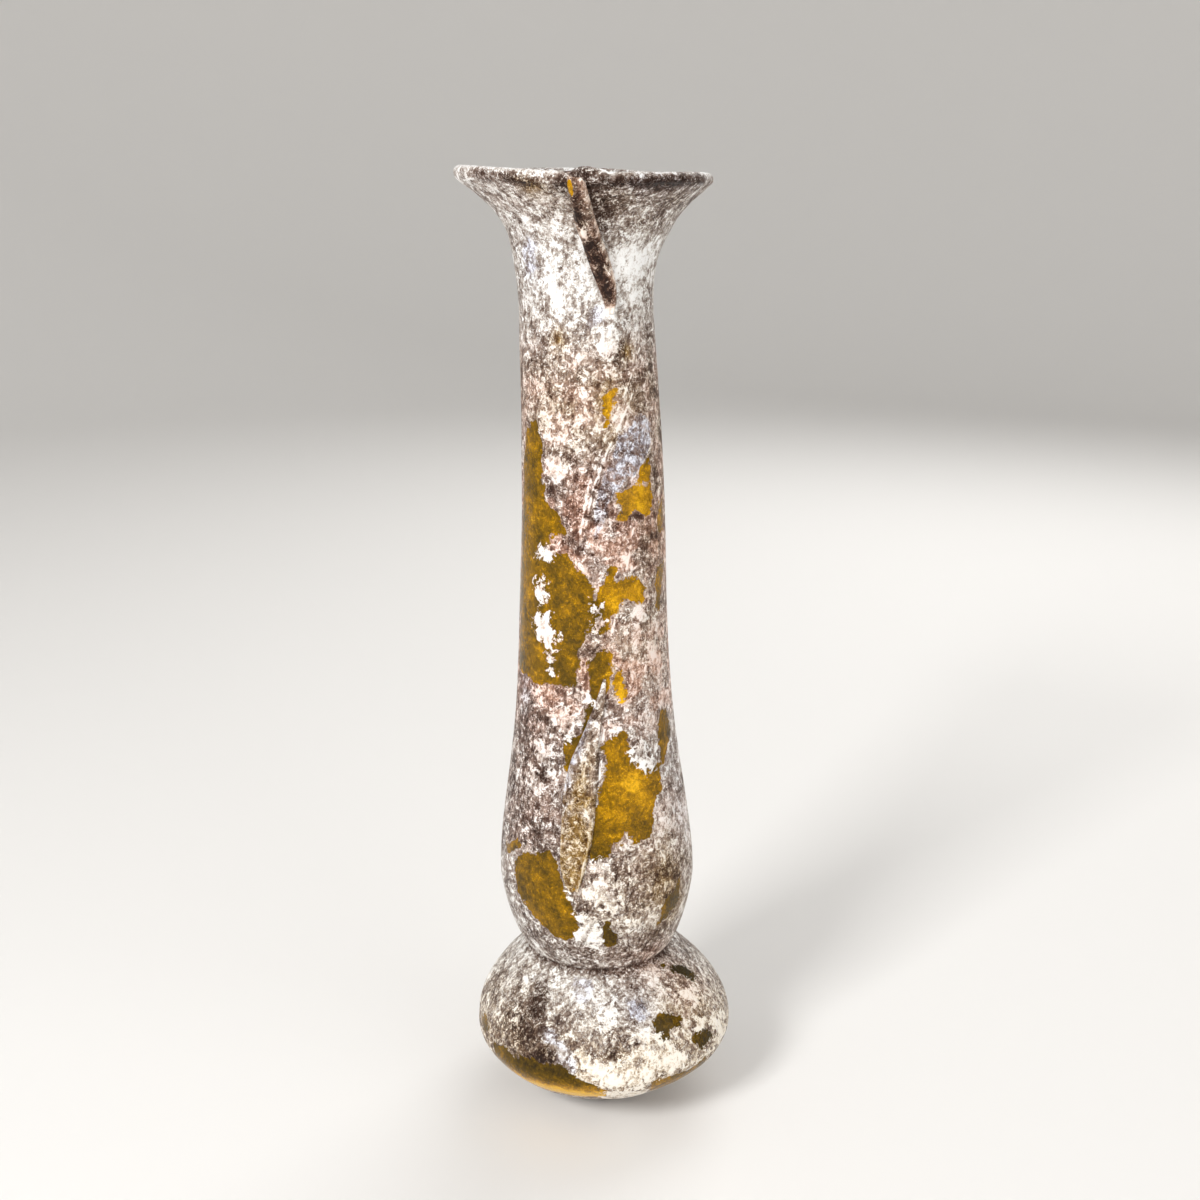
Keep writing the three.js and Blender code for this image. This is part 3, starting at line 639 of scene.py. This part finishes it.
leaf = {
    "stations": [(8, 90.5, 0, 0.5, 0.35), (5, 86.5, 0, 1.6, 0.75), (1.2, 82.8, 0, 2.5, 0.9),
                 (-2.7, 78.9, 0, 3.6, 0.95), (-6.2, 75, 0, 5.1, 0.95), (-8.5, 71, 0, 6.0, 0.9),
                 (-10, 67, 0, 6.2, 0.85), (-10.8, 63, 0, 6.1, 0.8), (-12, 59, 0, 5.7, 0.75),
                 (-13.3, 55, 0, 4.7, 0.65), (-13.3, 52.2, 0, 3.3, 0.5), (-12.7, 50.4, 0, 1.8, 0.3)],
    "roof": [0, 0.42, 0.6, 0.6, 0.58, 0.6, 0.64, 0.72, 0.92, 0],
    "buried": 0.35,
    "finish": {
        "level": (0.0, [(0, 0.3, 2, 0.2, 0.05), (0.84, 0.8, 0.07, 0.3, 0.4), (0.9, 0.36, 0.16, 0.2, -0.3),
                          (-0.95, 0.7, 0.1, 0.5, 0.16)]),
        "dark": (-3.0, [(0.3, 0.4, 0.35, 0.05, 3.4), (-0.6, 0.28, 0.4, 0.06, 3.2)]),
        "bare": (-3.0, [(0.2, 0.97, 1.2, 0.05, 3.2)]),
        "crust": (-3.0, [(-0.1, 0.36, 0.4, 0.06, 4.4), (0.1, 0.45, 0.3, 0.05, 4.0),
                         (0.2, 0.2, 0.6, 0.05, 3.6)]),
        "gold": (0.2, [(0, 0.85, 2, 0.4, 1.8)]),
        "mauve": (0.2, []),
        # (-0.9, 0.35): painted shade, grey-blue on the leaf's left bevel
        "lilac": (0.1, [(-0.9, 0.35, 0.4, 0.25, 0.9)]),
        "glow": (0.1, []), "warm": (0.2, []), "scratch": (9.0, []),
    },
}


# Materials

# sRGB hex to linear light: a straight part near black and a power of 2.4 above it.
def linear(hexColour):
    c = np.array([int(hexColour[k:k + 2], 16) for k in (1, 3, 5)]) / 255
    return (*np.where(c <= 0.04045, c / 12.92, ((c + 0.055) / 1.055) ** 2.4), 1)


# An empty material.
def newMaterial(name):
    material = bpy.data.materials.new(name)
    material.use_nodes = True
    material.node_tree.nodes.clear()
    return material


# Adds one node with its settings, and fills its inputs by number or name with values or other outputs.
# Stops are a ramp's places and colours.
def node(material, kind, inputs=(), output=0, stops=(), **settings):
    tree = material.node_tree
    made = tree.nodes.new("ShaderNode" + kind)
    for key, value in settings.items():
        setattr(made, key, value)
    for k, (place, colour) in enumerate(stops):
        stop = made.color_ramp.elements[k] if k < 2 else made.color_ramp.elements.new(place)
        stop.position, stop.color = place, linear(colour)
    for key, value in inputs.items() if isinstance(inputs, dict) else enumerate(inputs):
        if isinstance(value, bpy.types.NodeSocket):
            tree.links.new(value, made.inputs[key])
        else:
            made.inputs[key].default_value = value
    return made.outputs[output] if len(made.outputs) else made


# Tones run from the darkest gap to bare white; sizes are millimetres. The real crackle and threads are
# 0.05 to 0.2 mm across: they are drawn at about half a millimetre, because finer ones don't show.
glassLook = {
    "film": [(0.0, "#2A1B14"), (0.25, "#54423A"), (0.42, "#83736A"), (0.57, "#ABA097"), (0.72, "#E4DFDA"),
             (0.88, "#FFFFFE")],
    "amber": [(0.0, "#2E2200"), (0.28, "#5A4300"), (0.5, "#8A6400"), (0.68, "#C68E00"), (0.88, "#FFC41A")],
    "mauveTint": "#FFD5C2",
    "greyTint": "#FCFBFA",
    "goldTint": "#DDB75C",
    "creamTint": "#FFF0D8",
    "lilacTint": "#DFE2F6",
    "mottleMm": 4.5,
    "patchMm": 1.7,
    "grainMm": 0.48,
    "strandMm": 0.5,
    "creaseMm": 0.62,
    "flakeMm": 0.85,
    "swirlMm": 1.1,
    "swirlReachMm": 1.6,
    "bumpMm": 0.13,
    "toneShares": {"mottle": 0.6, "patch": 1.2, "grain": 0.52, "strand": 0.62, "drawn": 0.55, "flake": 0.2,
                   "crease": -0.1, "glint": 0.4, "fleck": 0.36},
    "toneBase": -1.335,
    "toneChanges": {"crust": 0.22, "dark": -0.34, "line": 0.45, "lip": 0.13},
    "depthShares": {"mottle": 0.6, "patch": 0.85, "grain": 0.42, "glint": 0.2},
    "depthBase": -0.52,
    "filmRoughness": 0.42,
    "bareRoughness": 0.12,
    "crustRoughness": 0.57,
    "bareTransmission": 0.16,
}


# Blown soda-lime glass, amber from iron and carbon, its skin split into thin pearly layers by centuries
# in the ground: bare glass is smooth, deep and clear to the light, the film is satin, streaked and
# silvery, and the enamel-like crust is matt and white.
def weatheredGlass(look):
    m = newMaterial("weatheredAmberGlass")
    place = node(m, "TexCoord", output="Object")
    fieldNames = ("level", "glow", "mauve", "gold", "warm", "lilac", "bare", "crust", "dark", "scratch")
    field = {name: node(m, "Attribute", output="Fac", attribute_name=name) for name in fieldNames}
    upright = node(m, "Mapping", {"Vector": place, "Scale": (1, 1, 0.22)})
    slanted = node(m, "Mapping", {"Vector": place, "Rotation": (0, math.radians(35), 0), "Scale": (1, 1, 5)},
                   vector_type="TEXTURE")

    # Patterns: soft mottling, torn patches, fine grain, drawn strands and flakes with cracks between them
    mottle = node(m, "TexNoise", {"Vector": place, "Scale": 1000 / look["mottleMm"], "Detail": 3})
    patch = node(m, "TexNoise", {"Vector": place, "Scale": 1000 / look["patchMm"], "Detail": 5,
                                 "Roughness": 0.64, "Distortion": 0.7})
    grain = node(m, "TexNoise", {"Vector": place, "Scale": 1000 / look["grainMm"], "Detail": 1.5,
                                 "Distortion": 1.3})
    strand = node(m, "TexNoise", {"Vector": upright, "Scale": 1000 / look["strandMm"], "Detail": 3,
                                  "Distortion": 0.4})
    drawn = node(m, "TexNoise", {"Vector": slanted, "Scale": 1000 / look["strandMm"], "Detail": 3,
                                 "Distortion": 0.4})
    fold = node(m, "TexNoise", {"Vector": place, "Scale": 1000 / look["creaseMm"], "Detail": 1.5,
                                "Distortion": 0.9})
    crease = node(m, "Math", (fold, 0.5, 0.018), operation="COMPARE")
    glint = node(m, "Math", (fold, 0.6, 0.02), operation="COMPARE")
    swirl = node(m, "TexNoise", {"Vector": place, "Scale": 1000 / look["swirlMm"], "Detail": 2},
                 output="Color")
    reach = (look["swirlReachMm"] / 1000,) * 3
    bent = node(m, "VectorMath", (swirl, reach, place), operation="MULTIPLY_ADD")
    flakeColour = node(m, "TexVoronoi", {"Vector": bent, "Scale": 1000 / look["flakeMm"]}, output="Color")
    flake = node(m, "SeparateColor", [flakeColour])
    crack = node(m, "TexVoronoi", {"Vector": bent, "Scale": 1000 / look["flakeMm"]}, output="Distance",
                 feature="DISTANCE_TO_EDGE")

    # Ragged edge, in millimetres either way
    jag = node(m, "Math", (patch, 2.4, -1.2), operation="MULTIPLY_ADD")
    jag = node(m, "Math", (flake, 0.5, jag), operation="MULTIPLY_ADD")
    jag = node(m, "Math", (grain, 0.9, jag), operation="MULTIPLY_ADD")
    jag = node(m, "Math", (jag, 0.7), operation="SUBTRACT")
    bareEdge = node(m, "Math", (field["bare"], jag), operation="ADD")
    bare = node(m, "MapRange", (bareEdge, -0.08, 0.12), interpolation_type="SMOOTHSTEP")
    crustEdge = node(m, "Math", (jag, 2.4, field["crust"]), operation="MULTIPLY_ADD")
    crust = node(m, "MapRange", (crustEdge, 0.1, 0.4), interpolation_type="SMOOTHSTEP")
    darkEdge = node(m, "Math", (jag, 2.4, field["dark"]), operation="MULTIPLY_ADD")
    dark = node(m, "MapRange", (darkEdge, -0.1, 0.3), interpolation_type="SMOOTHSTEP")
    line = node(m, "MapRange", (field["scratch"], 0.3, 0.1), interpolation_type="SMOOTHSTEP")
    worn = node(m, "MapRange", (patch, 0.4, 0.56), interpolation_type="SMOOTHSTEP")
    line = node(m, "Math", (line, worn), operation="MULTIPLY")

    # How pale the film is, from gap to white, darker where the level zones paint shade, and paler at
    # flecks that are partly painted glints
    tone = field["level"]
    # Flecks: small white flecks, partly the film's own white and partly painted glints of its pearly skin
    fleck = node(m, "Math", (grain, 0.6, patch), operation="MULTIPLY_ADD")
    fleck = node(m, "MapRange", (fleck, 0.87, 0.97), interpolation_type="SMOOTHSTEP")
    patterns = {"mottle": mottle, "patch": patch, "grain": grain, "strand": strand, "drawn": drawn,
                "flake": flake, "crease": crease, "glint": glint, "fleck": fleck}
    for name, share in look["toneShares"].items():
        tone = node(m, "Math", (patterns[name], share, tone), operation="MULTIPLY_ADD")
    tone = node(m, "Math", (tone, look["toneBase"]), operation="ADD")
    lip = node(m, "MapRange", (bareEdge, -0.4, -0.14), interpolation_type="SMOOTHSTEP")
    masks = {"crust": crust, "dark": dark, "line": line, "lip": lip}
    for name, change in look["toneChanges"].items():
        tone = node(m, "Math", (masks[name], change, tone), operation="MULTIPLY_ADD")
    film = node(m, "ValToRGB", [tone], stops=look["film"])
    tint = linear(look["greyTint"])
    drift = node(m, "MapRange", (mottle, 0.38, 0.62), interpolation_type="SMOOTHSTEP")
    counter = node(m, "Math", (1.0, drift), operation="SUBTRACT")
    for name, colour, where in (("mauve", "mauveTint", drift), ("warm", "creamTint", worn),
                                ("gold", "goldTint", counter), ("lilac", "lilacTint", worn)):
        share = node(m, "Math", (where, 0.7, 0.4), operation="MULTIPLY_ADD")
        share = node(m, "Math", (share, field[name]), operation="MULTIPLY")
        tint = node(m, "Mix", {0: share, 6: tint, 7: linear(look[colour])}, output=2, data_type="RGBA")
    tinted = node(m, "MapRange", (tone, 0.62, 0.95, 1.0, 0.5))
    film = node(m, "Mix", {0: tinted, 6: film, 7: tint}, output=2, data_type="RGBA", blend_type="MULTIPLY")

    # Bare glass: from deep olive to bright gold, brighter where the glow paints light into it, with fine
    # crackle
    glowAndDepth = field["glow"]
    for name, share in look["depthShares"].items():
        glowAndDepth = node(m, "Math", (patterns[name], share, glowAndDepth), operation="MULTIPLY_ADD")
    glowAndDepth = node(m, "Math", (glowAndDepth, look["depthBase"]), operation="ADD")
    amber = node(m, "ValToRGB", [glowAndDepth], stops=look["amber"])

    thin = node(m, "Math", (1.0, crust), operation="SUBTRACT")
    window = node(m, "Math", (bare, thin), operation="MULTIPLY")
    colour = node(m, "Mix", {0: window, 6: film, 7: amber}, output=2, data_type="RGBA")
    clear = node(m, "Math", (bare, dark), operation="MAXIMUM")
    clear = node(m, "Math", (clear, thin), operation="MULTIPLY")
    matt = look["filmRoughness"]
    roughness = node(m, "Math", (clear, look["bareRoughness"] - matt, matt), operation="MULTIPLY_ADD")
    roughness = node(m, "Math", (crust, look["crustRoughness"] - matt, roughness), operation="MULTIPLY_ADD")
    seeThrough = node(m, "Math", (clear, look["bareTransmission"]), operation="MULTIPLY")
    skin = node(m, "Math", (1.0, clear), operation="SUBTRACT")
    height = node(m, "Math", (tone, skin), operation="MULTIPLY", use_clamp=True)
    groove = node(m, "MapRange", (crack, 0.0, 0.1))
    height = node(m, "Math", (groove, 0.15, height), operation="MULTIPLY_ADD")
    bump = node(m, "Bump", {"Strength": 0.9, "Distance": look["bumpMm"] / 1000, "Height": height})
    shader = node(m, "BsdfPrincipled", {"Base Color": colour, "Roughness": roughness,
                                        "Transmission Weight": seeThrough, "Normal": bump, "IOR": 1.52,
                                        "Specular IOR Level": 0.1})
    node(m, "OutputMaterial", {"Surface": shader})
    return m


liningLook = {
    "dust": [(0.35, "#6E4A08"), (0.5, "#A0741C"), (0.62, "#CDB074")],
    "patchMm": 2.5,
    "transmission": 0.4,
}


# The same blown glass on the inside, where the dust of the ground has dried on: matt amber, paler where
# the dust is thick, with light coming through.
def glassLining(look):
    m = newMaterial("glassLining")
    place = node(m, "TexCoord", output="Object")
    patch = node(m, "TexNoise", {"Vector": place, "Scale": 1000 / look["patchMm"], "Detail": 5,
                                 "Roughness": 0.65})
    colour = node(m, "ValToRGB", [patch], stops=look["dust"])
    shader = node(m, "BsdfPrincipled", {"Base Color": colour, "Roughness": 0.4, "IOR": 1.52,
                                        "Transmission Weight": look["transmission"]})
    node(m, "OutputMaterial", {"Surface": shader})
    return m


glass = weatheredGlass(glassLook)
body = makeVessel(glass, glassLining(liningLook))
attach(body, "root")
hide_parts("vessel")
print("vesselBody done", len(body.data.polygons))
makeTrail("handleStrap", strap, 150, glass)
makeTrail("handleLeaf", leaf, 170, glass)

# Stage: a pale studio sweep, soft lights and the camera

stage = {
    "sweepColour": "#EFEDEA",
    "flatRadius": 0.9,
    "bendRadius": 0.5,
    "wallHeight": 1.4,
    "key": dict(energy=5.2, size=0.22, place=(-0.42, -0.55, 0.52)),
    "fill": dict(energy=1.45, size=0.6, place=(0.55, -0.45, 0.25)),
    "back": dict(energy=2.0, size=0.5, place=(0.25, 0.5, 0.5)),
    "world": 0.46,
    "worldColour": "#F2F2F2",
    "lens": 45.0,
    "cameraPlace": (-0.0008, -0.2705, 0.1785),
    "cameraPitch": 15.93,
}


# The sweep of matt painted paper, pale and even: a flat disc whose edge bends up through a quarter circle
# into a wall, turned round the axis.
def makeSweep():
    bend = np.linspace(0, math.pi / 2, 16)
    r = np.concatenate([[0.05, 0.4], stage["flatRadius"] + stage["bendRadius"] * np.sin(bend)])
    z = np.concatenate([[0, 0], stage["bendRadius"] * (1 - np.cos(bend))])
    r, z = np.append(r, r[-1]), np.append(z, stage["wallHeight"])
    turn = np.linspace(0, 2 * math.pi, 72, endpoint=False)
    verts = np.stack([r[:, None] * np.cos(turn), r[:, None] * np.sin(turn), z[:, None] + 0 * turn], axis=-1)
    verts = np.concatenate([verts.reshape(-1, 3), [[0, 0, 0]]])
    i, j = np.meshgrid(np.arange(len(r) - 1), np.arange(72), indexing="ij")
    k = (j + 1) % 72
    quads = np.stack([i * 72 + j, (i + 1) * 72 + j, (i + 1) * 72 + k, i * 72 + k], axis=-1).reshape(-1, 4)
    j = np.arange(72)
    middle = np.stack([0 * j + len(verts) - 1, j, (j + 1) % 72], axis=1)
    mesh = bpy.data.meshes.new("studioSweep")
    mesh.from_pydata(verts.tolist(), [], quads.tolist() + middle.tolist())
    mesh.polygons.foreach_set("use_smooth", np.ones(len(mesh.polygons), bool))
    m = newMaterial("paleSweep")
    shader = node(m, "BsdfPrincipled", {"Base Color": linear(stage["sweepColour"]), "Roughness": 0.8})
    node(m, "OutputMaterial", {"Surface": shader})
    mesh.materials.append(m)
    sweep = bpy.data.objects.new("studioSweep", mesh)
    bpy.context.collection.objects.link(sweep)


# Square lamps turned to the middle of the flask, under an even sky.
def makeLights():
    for name in ("key", "fill", "back"):
        setting = stage[name]
        lamp = bpy.data.lights.new(name, "AREA")
        lamp.energy, lamp.size = setting["energy"], setting["size"]
        light = bpy.data.objects.new(name, lamp)
        light.location = setting["place"]
        light.rotation_euler = (Vector((0, 0, 0.09)) - light.location).to_track_quat("-Z", "Y").to_euler()
        bpy.context.collection.objects.link(light)
    world = bpy.data.worlds.new("studio")
    world.use_nodes = True
    world.node_tree.nodes["Background"].inputs[0].default_value = linear(stage["worldColour"])
    world.node_tree.nodes["Background"].inputs[1].default_value = stage["world"]
    bpy.context.scene.world = world


# The camera that fits the photo's outlines: a little above the rim, looking along +Y and down.
def makeCamera():
    data = bpy.data.cameras.new("camera")
    data.lens, data.sensor_width = stage["lens"], 36.0
    camera = bpy.data.objects.new("camera", data)
    camera.location = stage["cameraPlace"]
    camera.rotation_euler = (math.radians(90 - stage["cameraPitch"]), 0, 0)
    data.clip_start, data.clip_end = 0.01, 10
    bpy.context.collection.objects.link(camera)
    bpy.context.scene.camera = camera


makeSweep()
makeLights()
makeCamera()
bpy.context.scene.view_settings.view_transform = "Standard"
print("stage done")
